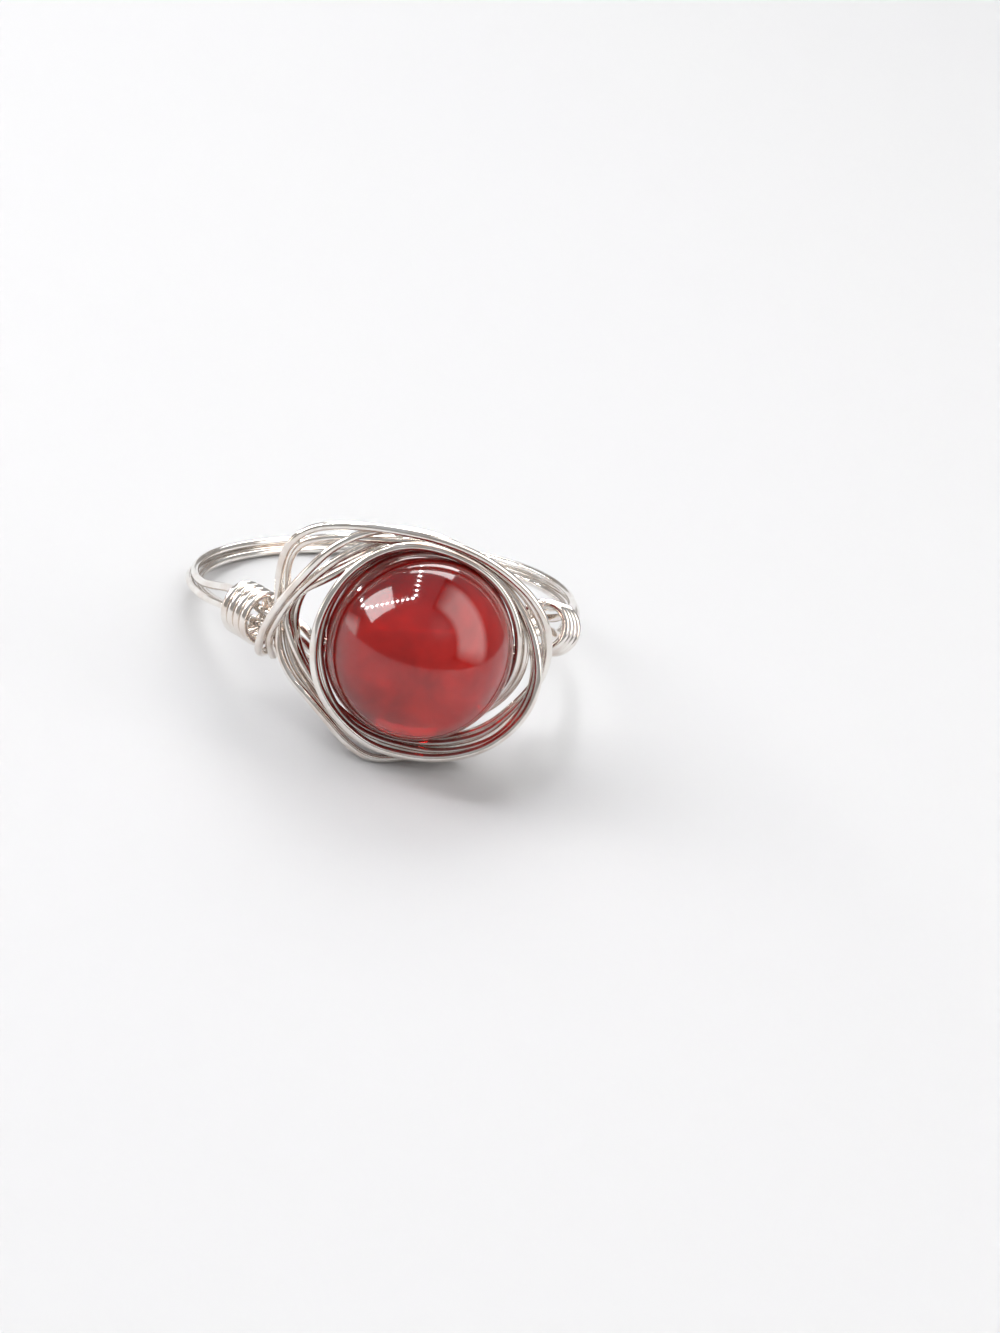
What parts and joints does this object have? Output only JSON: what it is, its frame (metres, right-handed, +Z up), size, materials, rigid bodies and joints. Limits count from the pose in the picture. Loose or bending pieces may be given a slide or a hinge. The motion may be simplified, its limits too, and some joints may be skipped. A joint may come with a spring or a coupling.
{
  "type": "wire wrapped ring",
  "caption": "Finger ring of bright wire, its round red stone bead strung on the band and wrapped in a loose nest of wire, with tight wire coils at the shoulders.",
  "frame": {"origin": "on the table, under the middle of the ring's overall box", "axes": "+Z up from the table the ring lies on, -Y toward the bead, X across the bead along its bore"},
  "size_m": [0.0176, 0.0244, 0.0102],
  "materials": {
    "red_stone": "polished, deep red and slightly cloudy",
    "silver_wire": "bright silver plate with fine handling marks"
  },
  "bodies": {
    "root": {"bead": "red_stone", "strung_strand": "silver_wire", "under_strand_1": "silver_wire", "under_strand_2": "silver_wire", "left_coil": "silver_wire", "right_coil": "silver_wire", "inner_wire_1": "silver_wire", "inner_wire_2": "silver_wire", "outer_wire_1": "silver_wire", "outer_wire_2": "silver_wire"}
  },
  "joints": []
}
